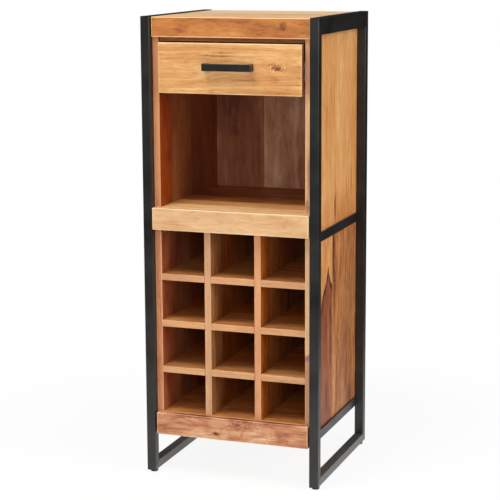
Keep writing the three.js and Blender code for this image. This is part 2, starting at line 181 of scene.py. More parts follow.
world = bpy.data.worlds.new("studio")
bpy.context.scene.world = world
world.use_nodes = True
tree = world.node_tree
tree.nodes.clear()
way = add(tree, "SeparateXYZ", Vector=add(tree, "TexCoord").outputs["Generated"]).outputs
up = way["Z"]
walls = add(tree, "MapRange", Value=way["Y"], FromMin=-1.0, FromMax=1.0,
            ToMin=BRIGHT_FRONT, ToMax=DIM_BACK)
mirrored = add(tree, "MapRange", {"interpolation_type": "SMOOTHSTEP"}, Value=up,
               FromMin=PAPER_BELOW, FromMax=WALLS_ABOVE, ToMin=1.0, ToMax=walls.outputs[0]).outputs[0]
path = add(tree, "LightPath")
behind = add(tree, "Math", {"operation": "MAXIMUM"},
             i0=path.outputs["Is Camera Ray"], i1=path.outputs["Is Transmission Ray"])
overhead = add(tree, "Math", {"operation": "MAXIMUM"}, i0=up, i1=0.0).outputs[0]
overhead = add(tree, "Math", {"operation": "POWER"}, i0=overhead, i1=2.0).outputs[0]
soft = add(tree, "Math", {"operation": "MULTIPLY_ADD"}, i0=overhead, i1=CEILING_LIGHT, i2=SKY_LIGHT)
for_gloss = add(tree, "Mix", {"data_type": "FLOAT"}, i0=path.outputs["Is Glossy Ray"],
                i2=soft.outputs[0], i3=mirrored)
level = add(tree, "Mix", {"data_type": "FLOAT"}, i0=behind.outputs[0], i2=for_gloss.outputs[0], i3=1.0)
sky = add(tree, "Background", Color=linear("#ffffff"), Strength=level.outputs[0])
add(tree, "OutputWorld", Surface=sky.outputs[0])
print("soft light from all round:", SKY_LIGHT, "and more from above:", CEILING_LIGHT)

# %% [markdown]
# Three soft boxes do the rest. The main one hangs high in front, so that the drawer and the
# shelf shade what lies below them. A large weak one beside the camera opens the front faces,
# and one at the right lights the side wall. Places are in metres, powers in watts.

# %% Lamps
def soft_box(name, place, aim, size, watts):
    """A square area lamp at a place, turned towards its aim."""
    bpy.ops.object.light_add(type="AREA", location=place)
    lamp = bpy.context.object
    lamp.name = name
    lamp.data.size = size
    lamp.data.energy = watts
    lamp.rotation_euler = (Vector(aim) - Vector(place)).to_track_quat("-Z", "Y").to_euler()


soft_box("high_front", (-0.5, -1.5, 3.4), (0, 0, 0.5), 1.2, 62)
soft_box("beside_camera", (0.7, -3.4, 1.5), (0, 0, 0.5), 1.6, 25)
soft_box("right_side", (3.0, -0.9, 1.9), (0, 0, 0.6), 1.6, 58)
print("three soft boxes placed")

# %% [markdown]
# ## Mango wood
#
# Furniture boards are glued up from planks of one hand's width. Each plank comes from another
# place in another log, so its tone and its figure change at every glue line. Within a plank
# the eye sees four things, from large to small: cloudy changes of tone, the annual rings cut
# at a slant, fine fibres, and now and then a knot or a dark streak of heartwood.
#
# All of it is solid: a board is a cut through a log. So the pattern is computed in space, in
# metres, and the faces, edges and end grain of a board agree by themselves. A picture texture
# could not do that without seams.

# %% Planks
PLANKS_AT_MOST = 8
HEART_SHIFT = 0.5


def along_the_grain(tree, grain, across):
    """Object coordinates in a new order: along the grain, across the planks, through them."""
    place = add(tree, "TexCoord").outputs["Object"]
    parts = add(tree, "SeparateXYZ", Vector=place).outputs
    through = "XYZ".replace(grain, "").replace(across, "")
    return place, add(tree, "CombineXYZ", X=parts[grain], Y=parts[across], Z=parts[through]).outputs[0]


def plank_table(tree, turned, planks, low, high):
    """What each plank is, looked up by the place across the board.

    planks lists (start, heart_across, heart_depth, tone, warmth): where the plank starts, where
    the heart of its log lies, how pale it is, and how red it is, from 0 for yellow-brown to
    just under 1 for red-brown. A colour ramp with hard steps is the table: red and green hold
    the heart, blue the tone, and alpha the plank's own number plus its warmth, as a share of
    PLANKS_AT_MOST. A heart may lie on either side of zero and a colour may not, so half a metre
    is added to it."""
    position = add(tree, "SeparateXYZ", Vector=turned).outputs["Y"]
    share = add(tree, "MapRange", Value=position, FromMin=low, FromMax=high)
    table = add(tree, "ValToRGB", Fac=share.outputs[0])
    ramp = table.color_ramp
    ramp.interpolation = "CONSTANT"
    for number, (start, heart_across, heart_depth, tone, warmth) in enumerate(planks):
        stop = ramp.elements[0] if number == 0 else ramp.elements.new((start - low) / (high - low))
        stop.color = (heart_across + HEART_SHIFT, heart_depth + HEART_SHIFT,
                      tone, (number + warmth) / PLANKS_AT_MOST)
    ramp.elements.remove(ramp.elements[-1])
    return table


print("a board may have up to", PLANKS_AT_MOST, "planks")

# %% [markdown]
# The rings are the heart of the figure. Every point of a plank has a distance from the middle
# of its log, and the wood changes only with that distance. Where the log leans a little against
# the board, the rings open into the pointed arches that joiners call cathedrals. A slow noise
# bends the log, because no tree is straight.

# %% Log and rings
BEND_MM = 22.0
CLOUDS_PER_METRE = (5, 14, 14)
NUMBERS_APART = 23.0
LOG_TAPER = 0.02


def log_distance(tree, turned, table, low, middle, lean, seed):
    """Metres from each point to the heart of its plank's log, in a log that a slow noise bends.

    Returned with it: the bent place, the clouds of tone, the plank's own number and its tone."""
    number = add(tree, "Math", {"operation": "MULTIPLY_ADD"},
                 i0=table.outputs["Alpha"], i1=NUMBERS_APART, i2=float(seed))
    slow = add(tree, "Mapping", Vector=turned, Scale=CLOUDS_PER_METRE).outputs[0]
    clouds = add(tree, "TexNoise", {"noise_dimensions": "4D"},
                 Vector=slow, W=number.outputs[0], Scale=1.0, Detail=3.0, Roughness=0.55)
    sway = BEND_MM / 1000
    bent = add(tree, "VectorMath", {"operation": "MULTIPLY_ADD"},
               i0=clouds.outputs["Color"], i1=(0, sway, sway), i2=turned).outputs[0]
    heart = add(tree, "SeparateColor", Color=table.outputs["Color"]).outputs
    heart_place = add(tree, "CombineXYZ", Y=heart["Red"], Z=heart["Green"]).outputs[0]
    from_heart = add(tree, "VectorMath", {"operation": "SUBTRACT"}, i0=bent, i1=heart_place)
    leaning = add(tree, "Mapping", Vector=from_heart.outputs[0], Rotation=(0, -lean, 0),
                  Location=(0, HEART_SHIFT - low - sway / 2, HEART_SHIFT - middle - sway / 2))
    flat = add(tree, "VectorMath", {"operation": "MULTIPLY"},
               i0=leaning.outputs[0], i1=(LOG_TAPER, 1, 1))
    radius = add(tree, "VectorMath", {"operation": "LENGTH"}, i0=flat.outputs[0]).outputs["Value"]
    return radius, bent, clouds.outputs["Fac"], number.outputs[0], heart["Blue"]


def year_rings(tree, radius, number, ring_mm):
    """Pale early wood and darker late wood, as a noise that only the distance changes."""
    along = add(tree, "Math", {"operation": "ADD"}, i0=radius, i1=number).outputs[0]
    return add(tree, "TexNoise", {"noise_dimensions": "1D"},
               W=along, Scale=1000 / ring_mm, Detail=2.0, Roughness=0.6).outputs["Fac"]


print("logs are bent by up to", BEND_MM / 2, "mm")

# %% [markdown]
# Knots and dark streaks are rare, and the eye remembers where they are, so each is listed one
# by one. A mark is a soft egg round its centre. It darkens the wood, or pales it where its
# number is negative. Where it is a knot it also pushes the rings aside, as the tree grew round
# the branch.

# %% Knots and streaks
FRAYED = 1.1
FRAYS_PER_METRE = 130.0
SOFT_SHARE = 0.7


def on_face(axis, position, depth, rows):
    """Marks on one face, which is square to an axis at a position, all with the same depth.

    rows lists (first, second, first_size, second_size, darkening, push), along the two
    other axes in the order X, Y, Z."""
    marks = []
    for first, second, first_size, second_size, dark, shove in rows:
        centre, size = [first, second], [first_size, second_size]
        centre.insert("XYZ".index(axis), position)
        size.insert("XYZ".index(axis), depth)
        marks.append((centre, size, dark, shove))
    return marks


def gather_marks(tree, place, marks):
    """How much all marks darken a point, and how far they push the rings aside.

    marks lists (centre, size, darkening, push) with places and sizes in metres."""
    fray = add(tree, "TexNoise", Vector=place, Scale=FRAYS_PER_METRE, Detail=3.0).outputs["Color"]
    darkening, push = 0.0, 0.0
    for centre, size, dark, shove in marks:
        torn = FRAYED * min(size)
        ragged = add(tree, "VectorMath", {"operation": "MULTIPLY_ADD"}, i0=fray, i1=[torn] * 3, i2=place)
        egg = add(tree, "Mapping", {"vector_type": "TEXTURE"}, Vector=ragged.outputs[0],
                  Location=[c + torn / 2 for c in centre], Scale=size)
        near = add(tree, "TexGradient", {"gradient_type": "SPHERICAL"}, Vector=egg.outputs[0])
        mask = add(tree, "MapRange", {"interpolation_type": "SMOOTHSTEP"},
                   Value=near.outputs["Fac"], FromMax=SOFT_SHARE).outputs[0]
        darkening = add(tree, "Math", {"operation": "MULTIPLY_ADD"},
                        i0=mask, i1=dark, i2=darkening).outputs[0]
        push = add(tree, "Math", {"operation": "MULTIPLY_ADD"}, i0=mask, i1=shove, i2=push).outputs[0]
    return darkening, push


print("marks are torn by up to", FRAYED / 2, "times their smallest size")

# %% [markdown]
# Heartwood is the dark core of the tree. Where the saw leaves the core at a slant, the dark
# wood ends in pointed flames with a thin, almost black rim. Each flame is a wedge below its
# tip, and a noise drawn out along the grain tears its sides.

# %% Heartwood flames
# In metres: how far the sides are torn, how soft they are, and how deep the rim lies
TEAR, EDGE, RIM = 0.06, 0.004, 0.018
TEARS_PER_METRE = (9, 48, 20)


def heart_flames(tree, turned, flames, end):
    """Masks of the heartwood and of its dark rim, which stop at the glue line called end.

    flames lists (along, across, slope): the tip, and how fast the flame narrows towards it."""
    torn = add(tree, "Mapping", Vector=turned, Scale=TEARS_PER_METRE).outputs[0]
    torn = add(tree, "TexNoise", Vector=torn, Scale=1.0, Detail=2.5, Roughness=0.5).outputs["Fac"]
    parts = add(tree, "SeparateXYZ", Vector=turned).outputs
    depth = -1.0
    for along, across, slope in flames:
        aside = add(tree, "Math", {"operation": "SUBTRACT"}, i0=parts["Y"], i1=across)
        aside = add(tree, "Math", {"operation": "ABSOLUTE"}, i0=aside.outputs[0]).outputs[0]
        below = add(tree, "Math", {"operation": "SUBTRACT"}, i0=along, i1=parts["X"]).outputs[0]
        wedge = add(tree, "Math", {"operation": "MULTIPLY_ADD"}, i0=aside, i1=-slope, i2=below).outputs[0]
        depth = add(tree, "Math", {"operation": "MAXIMUM"}, i0=depth, i1=wedge).outputs[0]
    depth = add(tree, "Math", {"operation": "MULTIPLY_ADD"}, i0=torn, i1=TEAR, i2=depth).outputs[0]
    core = add(tree, "MapRange", Value=depth,
               FromMin=TEAR / 2 - EDGE, FromMax=TEAR / 2 + EDGE).outputs[0]
    rim = add(tree, "MapRange", Value=depth, FromMin=TEAR / 2 + EDGE, FromMax=TEAR / 2 + RIM,
              ToMin=1.0, ToMax=0.0).outputs[0]
    here = add(tree, "Math", {"operation": "LESS_THAN"}, i0=parts["Y"], i1=end).outputs[0]
    core = add(tree, "Math", {"operation": "MULTIPLY"}, i0=core, i1=here).outputs[0]
    rim = add(tree, "Math", {"operation": "MULTIPLY"}, i0=rim, i1=core).outputs[0]
    return core, rim


print("heartwood ready, with a dark rim of", round(1000 * (RIM - EDGE)), "mm along the grain")

# %% [markdown]
# The edges of a board are eased with sandpaper, and handling leaves them a little paler. Their
# paleness also paints the highlight that an eased edge catches from the lamps. The mask needs
# no painting: on the surface of a box the smallest of the three distances to its sides is
# zero, so the middle one tells how near the next edge is. A real eased edge is a millimetre
# wide, drawn here about three times as wide so that it shows.

# %% Worn edges with a painted highlight
EDGE_MM = 3.2
# How much paler the edges are, by wear and by a painted highlight: most boards, rack boards
WORN_AND_HIGHLIT, FAINTLY_WORN_AND_HIGHLIT = 0.38, 0.12


def edge_mask(tree, place, low, high, reach=EDGE_MM / 1000):
    """One along the edges of a box between two corners, zero away from them."""
    centre = (low + high) / 2
    from_centre = add(tree, "VectorMath", {"operation": "SUBTRACT"}, i0=place, i1=tuple(centre))
    folded = add(tree, "VectorMath", {"operation": "ABSOLUTE"}, i0=from_centre.outputs[0])
    inside = add(tree, "VectorMath", {"operation": "SUBTRACT"},
                 i0=tuple((high - low) / 2), i1=folded.outputs[0])
    depth = add(tree, "SeparateXYZ", Vector=inside.outputs[0]).outputs
    nearer = add(tree, "Math", {"operation": "MINIMUM"}, i0=depth["X"], i1=depth["Y"]).outputs[0]
    farther = add(tree, "Math", {"operation": "MAXIMUM"}, i0=depth["X"], i1=depth["Y"]).outputs[0]
    middle = add(tree, "Math", {"operation": "MINIMUM"}, i0=farther, i1=depth["Z"]).outputs[0]
    middle = add(tree, "Math", {"operation": "MAXIMUM"}, i0=nearer, i1=middle).outputs[0]
    return add(tree, "MapRange", {"interpolation_type": "SMOOTHSTEP"}, Value=middle,
               FromMin=0.0, FromMax=reach, ToMin=1.0, ToMax=0.0).outputs[0]


print("edges are worn over", EDGE_MM, "mm")

# %% [markdown]
# All parts of the figure add up to one number, the tone, and a ramp turns the tone into the
# colours of the wood: dark knot, red-brown heartwood, orange-brown, honey and pale sapwood.
# Each board has one of six palettes, which lie close together, because the boards of one
# cabinet are related.

# %% Palettes
HONEY = ("#34140a", "#85431b", "#bf7637", "#da9a59", "#eec78e")
RED = ("#36120b", "#883d23", "#bc7045", "#d79a69", "#ebc49b")
ROSY = ("#3a1710", "#8a452b", "#bd774e", "#d9a27a", "#eccaa8")
PALE = ("#3c1d10", "#8d5331", "#c48b5a", "#dcaf7e", "#eecfa6")
SMOKY = ("#280d05", "#823b13", "#9d5c38", "#bb8a6a", "#d8b494")
UMBER = ("#1c0703", "#501c0b", "#7c3a19", "#a2602f", "#c78d55")

print("palettes ready, with", len(HONEY), "colours in each")

# %% [markdown]
# Mottle, streaks, fibres and pores are one kind of noise in four sizes, each drawn out along
# the grain. Real fibres and pores are a few tenths of a millimetre wide. That is too fine to
# show in the picture, so they are drawn two to three millimetres wide.

# %% Grain
# Sizes of the figure in millimetres: along the grain and across it
MOTTLE_MM, STREAK_MM, FIBRE_MM, PORE_MM = (52, 17), (95, 5.5), (34, 2.0), (26, 2.8)


def grain_noise(tree, bent, number, size_mm, detail=3.0):
    """Noise drawn out along the grain, with its sizes along and across it in millimetres."""
    along, wide = size_mm
    stretched = add(tree, "Mapping", Vector=bent, Scale=(1000 / along, 1000 / wide, 1000 / wide))
    return add(tree, "TexNoise", {"noise_dimensions": "4D"}, Vector=stretched.outputs[0],
               W=number, Scale=1.0, Detail=detail, Roughness=0.6).outputs["Fac"]


print("fibres are drawn", FIBRE_MM[1], "mm wide and pores", PORE_MM[1], "mm")

# %% [markdown]
# Each layer of the figure swings round its own middle and is added to the plank's tone by a
# weight. The ramp then gives the colour, and the plank's warmth shifts it: a warm plank is
# redder and deeper. Heartwood and freshly sanded edges also turn a little to a colour of their
# own.

# %% Tone and colour
# How much darker pores, end grain, heartwood and its rim are than the wood around them
PORE_DARK, END_GRAIN_DARK, CORE_DARK, RIM_DARK = 0.17, 0.10, 0.36, 0.80

# How much stronger the rings are round a knot, for each metre that it pushes them aside
KNOT_RINGS = 26.0

# The colour that a freshly sanded edge takes on, by what share, and how much paler it gets
SANDED_PINK, SANDED_SHARE, SANDED_PALE = "#e6b797", 0.7, 0.3

# The colour that heartwood takes on, and by what share
HEART_RED, HEART_RED_SHARE = "#97401f", 0.30

# Hue and saturation settings of the yellowest plank, and what full warmth adds to them
YELLOW_HUE, HUE_BY_WARMTH = 0.52, -0.04
YELLOW_DEPTH, DEPTH_BY_WARMTH = 0.85, 0.3


def facing_share(tree, facing, axis, direction):
    """One on faces that look along an axis, forwards for 1 or backwards for -1; else zero."""
    return add(tree, "Math", {"operation": "MULTIPLY", "use_clamp": True},
               i0=facing[axis], i1=direction).outputs[0]


def weighted_tone(tree, tone, layers):
    """The tone with layers added to it, each one given as (socket, its middle, its weight)."""
    for layer, middle, weight in layers:
        swing = add(tree, "Math", {"operation": "SUBTRACT"}, i0=layer, i1=middle).outputs[0]
        tone = add(tree, "Math", {"operation": "MULTIPLY_ADD"}, i0=swing, i1=weight, i2=tone).outputs[0]
    return tone


def wood_colour(tree, tone, palette, table):
    """The palette's colour for a tone, redder and deeper by the warmth of the plank."""
    colour = add(tree, "ValToRGB", Fac=tone)
    stops = colour.color_ramp.elements
    stops[0].color, stops[1].color = linear(palette[0]), linear(palette[-1])
    for share, hex_colour in zip((0.25, 0.5, 0.75), palette[1:4]):
        stops.new(share).color = linear(hex_colour)
    warmth = add(tree, "Math", {"operation": "MULTIPLY"},
                 i0=table.outputs["Alpha"], i1=float(PLANKS_AT_MOST))
    warmth = add(tree, "Math", {"operation": "FRACT"}, i0=warmth.outputs[0]).outputs[0]
    hue = add(tree, "Math", {"operation": "MULTIPLY_ADD"}, i0=warmth, i1=HUE_BY_WARMTH, i2=YELLOW_HUE)
    depth = add(tree, "Math", {"operation": "MULTIPLY_ADD"},
                i0=warmth, i1=DEPTH_BY_WARMTH, i2=YELLOW_DEPTH)
    return add(tree, "HueSaturation", Hue=hue.outputs[0], Saturation=depth.outputs[0],
               Color=colour.outputs["Color"]).outputs["Color"]


def stained(tree, colour, mask, strength, hex_colour):
    """A colour that turns to another one where a mask is set, by a share of its strength."""
    share = add(tree, "Math", {"operation": "MULTIPLY"}, i0=mask, i1=strength).outputs[0]
    return add(tree, "Mix", {"data_type": "RGBA"}, i0=share, i6=colour, i7=linear(hex_colour)).outputs[2]


print("a knot makes rings stronger by", KNOT_RINGS / 1000, "for each millimetre of push")

# %% [markdown]
# A satin lacquer lies over the wood. Its roughness and its fine relief follow the fibres, so a
# lamp's reflection breaks up along them. With it all parts are there, and one function dresses
# a whole board: it finds the board's box, lays out its planks, gathers the layers of its figure
# and gives the finished wood to the board.

# %% A board of mango wood
def satin_lacquer(tree, colour, fibre, pores):
    """Wood of a colour under satin lacquer, whose shine and fine relief follow the fibres."""
    roughness = add(tree, "MapRange", Value=fibre, FromMin=0.3, FromMax=0.7, ToMin=0.54, ToMax=0.42)
    relief = add(tree, "Math", {"operation": "SUBTRACT"}, i0=fibre, i1=pores).outputs[0]
    bump = add(tree, "Bump", Strength=0.35, Distance=0.0004, Height=relief)
    wood = add(tree, "BsdfPrincipled", BaseColor=colour, IOR=1.5,
               Roughness=roughness.outputs[0], Normal=bump.outputs[0])
    add(tree, "OutputMaterial", Surface=wood.outputs[0])


def mango_wood(name, node, grain, across, planks, palette=HONEY, seed=1, lean=0.02,
               marks=(), flames=(), clouds=0.5, mottle=0.4, rings=0.35, streaks=0.3, fibres=0.30,
               ring_mm=9.0, sanded_front=0.0, worn=WORN_AND_HIGHLIT, painted_shade_face=None):
    """Lacquered mango wood for one board, in the board's own box.

    clouds, mottle, rings, streaks and fibres say how strong each part of the figure is, and
    worn how pale the edges are, by wear and by a painted highlight. sanded_front
    is how freshly sanded the front edge is.
    painted_shade_face is a face darkened as painted shade, as (axis, direction, how much darker)."""
    low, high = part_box(node)
    axis = "XYZ".index(across)
    through = 3 - axis - "XYZ".index(grain)
    material, tree = new_material(name)
    place, turned = along_the_grain(tree, grain, across)
    table = plank_table(tree, turned, planks, low[axis], high[axis])
    radius, bent, cloud, number, tone = log_distance(
        tree, turned, table, low[axis], (low[through] + high[through]) / 2, lean, seed)
    if marks:
        darkening, push = gather_marks(tree, place, marks)
        radius = add(tree, "Math", {"operation": "ADD"}, i0=radius, i1=push).outputs[0]
    facing = add(tree, "SeparateXYZ", Vector=tree.nodes["Texture Coordinate"].outputs["Normal"]).outputs
    end_grain = add(tree, "Math", {"operation": "ABSOLUTE"}, i0=facing[grain]).outputs[0]
    ring_lines = year_rings(tree, radius, number, ring_mm)
    fibre = grain_noise(tree, bent, number, FIBRE_MM)
    pores = grain_noise(tree, bent, number, PORE_MM, detail=1.0)
    pores = add(tree, "MapRange", Value=pores, FromMin=0.60, FromMax=0.72).outputs[0]

    layers = [(cloud, 0.5, clouds), (grain_noise(tree, bent, number, MOTTLE_MM), 0.5, mottle),
              (ring_lines, 0.5, rings), (grain_noise(tree, bent, number, STREAK_MM), 0.5, streaks),
              (fibre, 0.5, fibres), (pores, 0.0, -PORE_DARK), (end_grain, 0.0, -END_GRAIN_DARK),
              (edge_mask(tree, place, low, high), 0.0, worn)]
    if marks:
        around = add(tree, "Math", {"operation": "SUBTRACT"}, i0=ring_lines, i1=0.5).outputs[0]
        around = add(tree, "Math", {"operation": "MULTIPLY"}, i0=around, i1=push).outputs[0]
        layers += [(darkening, 0.0, -1.0), (around, 0.0, KNOT_RINGS)]
    if flames:
        core, rim = heart_flames(tree, turned, flames, planks[1][0])
        layers += [(core, 0.0, -CORE_DARK), (rim, 0.0, -RIM_DARK)]
    # Painted shade: the face that looks into the cabinet is darkened.
    if painted_shade_face:
        side, direction, drop = painted_shade_face
        layers.append((facing_share(tree, facing, side, direction), 0.0, -drop))
    if sanded_front:
        front = facing_share(tree, facing, "Y", -1.0)
        layers.append((front, 0.0, SANDED_PALE * sanded_front))
    colour = wood_colour(tree, weighted_tone(tree, tone, layers), palette, table)
    if flames:
        inside = add(tree, "Math", {"operation": "SUBTRACT"}, i0=core, i1=rim).outputs[0]
        colour = stained(tree, colour, inside, HEART_RED_SHARE, HEART_RED)
    if sanded_front:
        colour = stained(tree, colour, front, SANDED_SHARE * sanded_front, SANDED_PINK)
    satin_lacquer(tree, colour, fibre, pores)
    dress([node], material)


print("mango wood ready; edges are", WORN_AND_HIGHLIT, "paler unless a board says otherwise")

# %% [markdown]
# ## The boards that the picture shows best
#
# Their glue lines, knots and streaks are where the picture has them. The lipping of the top is
# orange-brown, the drawer front and the lipping of the shelf are paler, and the apron is
# redder.

# %% Front boards
mango_wood("mango_top_lipping", "top_nose", "X", "Z", [(0, 0.01, -0.06, 0.49, 0.5)], seed=3, lean=0.05,
           # The lipping's pale top edge is mostly a painted highlight.
           mottle=0.48, streaks=0.14, rings=0.2, worn=0.8,
           marks=on_face("Y", -0.19, 0.05, [
               (0.1347, 1.121, 0.013, 0.016, 0.17, 0.012),
               (0.1300, 1.112, 0.020, 0.006, 0.08, 0.0),
               (-0.120, 1.112, 0.030, 0.012, 0.10, 0.0)]))
mango_wood("mango_drawer_front", "drawer_front", "X", "Z", [(0, 0.055, -0.05, 0.69, 0.36)],
           seed=11, lean=0.03, mottle=0.38, streaks=0.48, rings=0.45,
           marks=on_face("Y", -0.195, 0.04, [
               (-0.028, 1.0492, 0.066, 0.0036, 0.36, 0.002),
               (-0.016, 1.0565, 0.046, 0.0030, 0.22, 0.0),
               (0.1188, 1.0238, 0.027, 0.018, 0.12, 0.038),
               (0.1060, 1.0300, 0.016, 0.005, 0.16, 0.0),
               (0.1250, 1.0190, 0.016, 0.006, 0.22, 0.0),
               (0.002, 0.989, 0.022, 0.010, 0.16, 0.008),
               (0.040, 0.993, 0.060, 0.003, 0.16, 0.0),
               (-0.130, 1.012, 0.030, 0.020, 0.04, 0.003)]))
mango_wood("mango_shelf_lipping", "shelf_nose", "X", "Z", [(0, 0.03, -0.09, 0.72, 0.5)],
           palette=PALE, seed=21, lean=0.02, clouds=0.3, mottle=0.35, streaks=0.2)
mango_wood("mango_apron", "apron", "X", "Z", [(0, 0.03, -0.05, 0.55, 0.42)],
           palette=ROSY, seed=31, lean=0.06, clouds=0.85, mottle=0.75, rings=0.6, streaks=0.4,
           marks=on_face("Y", -0.19, 0.05, [
               (-0.041, 0.118, 0.011, 0.007, 0.42, 0.026),
               (-0.056, 0.114, 0.018, 0.003, 0.25, 0.0),
               (-0.018, 0.120, 0.020, 0.024, -0.16, 0.012),
               (0.015, 0.144, 0.024, 0.017, 0.14, 0.032),
               (0.070, 0.122, 0.060, 0.045, -0.10, 0.012),
               (0.135, 0.116, 0.018, 0.011, 0.20, 0.010),
               # These three thin marks along the top edge are a painted shadow in the joint.
               (-0.100, 0.157, 0.090, 0.005, 0.34, 0.0),
               (0.020, 0.158, 0.050, 0.006, 0.30, 0.0),
               (0.120, 0.157, 0.070, 0.004, 0.30, 0.0)]))
print("front boards dressed")

# %% [markdown]
# The side walls are glued up from upright planks. In the lower right wall the front plank
# holds heartwood, which is dark red and ends in a point in the upper half: there the saw left
# the log's coloured core. The upper right wall's front edge shows beside the drawer and the
# compartment. Beside the drawer it is darkened by a painted shadow of the drawer front, and
# beside the compartment it is stained.

# %% Side walls
CALM = {"rings": 0.22, "streaks": 0.28, "mottle": 0.34, "clouds": 0.45}

mango_wood("mango_wall_lower_right", "wall_lower_right", "Z", "Y",
           [(0, 0.1357, -0.0956, 0.67, 0.5), (-0.013, 0.30, -0.12, 0.41, 0.46),
            (0.070, 0.45, -0.12, 0.39, 0.40)],
           seed=41, lean=0.05, sanded_front=0.55, rings=0.32, streaks=0.46, mottle=0.50, clouds=0.55,
           flames=[(0.521, -0.045, 1.8), (0.480, -0.080, 2.1), (0.44, -0.12, 1.6)],
           marks=on_face("X", 0.20, 0.05, [
               (-0.002, 0.57, 0.012, 0.09, 0.32, 0.0),
               (0.006, 0.46, 0.017, 0.10, 0.15, 0.0),
               (-0.064, 0.35, 0.005, 0.11, 0.28, 0.0),
               (-0.027, 0.35, 0.005, 0.12, 0.30, 0.0),
               (-0.045, 0.32, 0.010, 0.13, -0.14, 0.0),
               (-0.060, 0.20, 0.006, 0.07, 0.30, 0.0),
               (-0.030, 0.22, 0.011, 0.11, -0.13, 0.0),
               (0.006, 0.26, 0.017, 0.16, -0.18, 0.0),
               (0.118, 0.489, 0.010, 0.014, 0.16, 0.012),
               (0.148, 0.36, 0.008, 0.16, 0.07, 0.0),
               (0.046, 0.56, 0.008, 0.10, -0.14, 0.0)]))
mango_wood("mango_wall_upper_right", "wall_upper_right", "Z", "Y",
           [(0, 0.05, -0.14, 0.72, 0.5), (0.003, 0.28, -0.06, 0.74, 0.45),
            (0.080, 0.45, -0.10, 0.72, 0.5)],
           seed=43, lean=0.02, sanded_front=0.55, **CALM,
           marks=on_face("X", 0.20, 0.05, [
               (0.010, 0.668, 0.010, 0.045, 0.34, 0.0),
               (0.150, 0.72, 0.008, 0.06, 0.26, 0.0),
               (0.110, 0.70, 0.006, 0.05, 0.22, 0.0),
               # This one darkens the wall broadly towards its lower end.
               (0.060, 0.62, 0.260, 0.11, 0.15, 0.0)])
           + on_face("Y", -0.183, 0.006, [
               # The first mark is a painted shadow of the drawer front; the others are stains.
               (0.1935, 1.020, 0.0220, 0.090, 0.62, 0.0),
               (0.1870, 0.820, 0.0120, 0.220, 0.12, 0.0),
               (0.1945, 0.770, 0.0055, 0.080, 0.50, 0.0),
               (0.1915, 0.697, 0.0065, 0.022, 0.70, 0.0)]))
# The left walls' inner faces are darkened as painted shade inside the cabinet.
mango_wood("mango_wall_upper_left", "wall_upper_left", "Z", "Y",
           [(0, 0.05, -0.12, 0.86, 0.82), (-0.112, 0.15, -0.09, 0.84, 0.40),
            (-0.045, 0.24, -0.07, 0.80, 0.42), (0.020, 0.32, -0.06, 0.76, 0.42),
            (0.095, 0.45, -0.10, 0.86, 0.55)],
           palette=UMBER, seed=45, lean=0.02, sanded_front=0.36, painted_shade_face=("X", 1, 0.24), **CALM)
mango_wood("mango_wall_lower_left", "wall_lower_left", "Z", "Y",
           [(0, 0.05, -0.12, 0.55, 0.55), (-0.10, 0.15, -0.09, 0.54, 0.35),
            (0.01, 0.32, -0.06, 0.58, 0.60)],
           palette=RED, seed=47, lean=0.03, sanded_front=0.15, painted_shade_face=("X", 1, 0.16), **CALM)
print("walls dressed")

# %% [markdown]
# Behind the open compartment stands the back. Its left plank is red-brown, and the middle one
# is pale, with a smoky cloud where a branch left the trunk. Its face in the compartment is
# darkened as painted shade, so it is darker than the face at the back. The top and the
# compartment's floor show one plank after the other too.

# %% Back, top and compartment floor
mango_wood("mango_back_upper", "back_panel_upper", "Z", "X",
           [(0, 0.075, 0.035, 0.58, 0.40), (-0.055, 0.200, 0.030, 0.96, 0.50),
            (0.095, 0.34, 0.05, 0.76, 0.5)],
           palette=SMOKY, seed=71, lean=0.07, ring_mm=15, clouds=0.75, rings=0.32, streaks=0.12,
           mottle=0.4, fibres=0.12, painted_shade_face=("Y", -1, 0.21),
           marks=[((-0.050, 0.207, 0.81), (0.0035, 0.03, 0.12), -0.14, 0.0),
                  ((-0.068, 0.207, 0.78), (0.010, 0.008, 0.16), 0.10, 0.0),
                  ((-0.135, 0.207, 0.821), (0.014, 0.008, 0.024), 0.08, 0.014),
                  ((-0.016, 0.207, 0.825), (0.013, 0.020, 0.020), -0.09, 0.016),
                  ((0.030, 0.207, 0.745), (0.105, 0.008, 0.200), -0.09, 0.0),
                  ((0.042, 0.207, 0.742), (0.072, 0.009, 0.160), 0.28, 0.010)])
mango_wood("mango_top", "top_board", "X", "Y",
           [(0, 0.05, -0.09, 0.84, 0.70), (-0.115, 0.14, -0.12, 0.88, 0.70),
            (-0.055, 0.21, -0.10, 0.78, 0.65), (0.020, 0.28, -0.12, 0.90, 0.50),
            (0.090, 0.36, -0.10, 0.94, 0.45), (0.165, 0.42, -0.08, 1.00, 0.35)],
           palette=PALE, seed=73, lean=0.02, streaks=0.5, rings=0.5)
# Its plank tones fall from front to back: painted light in front, painted shade under the drawer.
mango_wood("mango_compartment_floor", "shelf_board", "X", "Y",
           [(0, 0.03, -0.09, 0.96, 0.50), (-0.125, 0.14, -0.12, 0.70, 0.35),
            (-0.055, 0.21, -0.10, 0.38, 0.50), (0.020, 0.28, -0.12, 0.26, 0.45),
            (0.100, 0.36, -0.10, 0.32, 0.55)],
           seed=75, lean=0.02)
print("back, top and compartment floor dressed")

# %% [markdown]
# The other boards show no glue line in the picture, so a seeded choice lays out planks of a
# hand's width for them. Their grain still follows how such a cabinet is built: it runs from
# side to side in shelves, and upright in dividers and in the back. The rack's boards have
# freshly sanded front edges, and hardly any wear or painted highlight on their edges.

# %% Boards with planks by chance
NARROWEST_PLANK = 0.03
PLANK_WIDTHS = (0.06, 0.095)
HEARTS_ASIDE, HEARTS_AWAY = (-0.06, 0.12), (0.03, 0.12)
WARMTHS = (0.25, 0.75)
PLANK_SEED, FIGURE_SEED = 100, 60


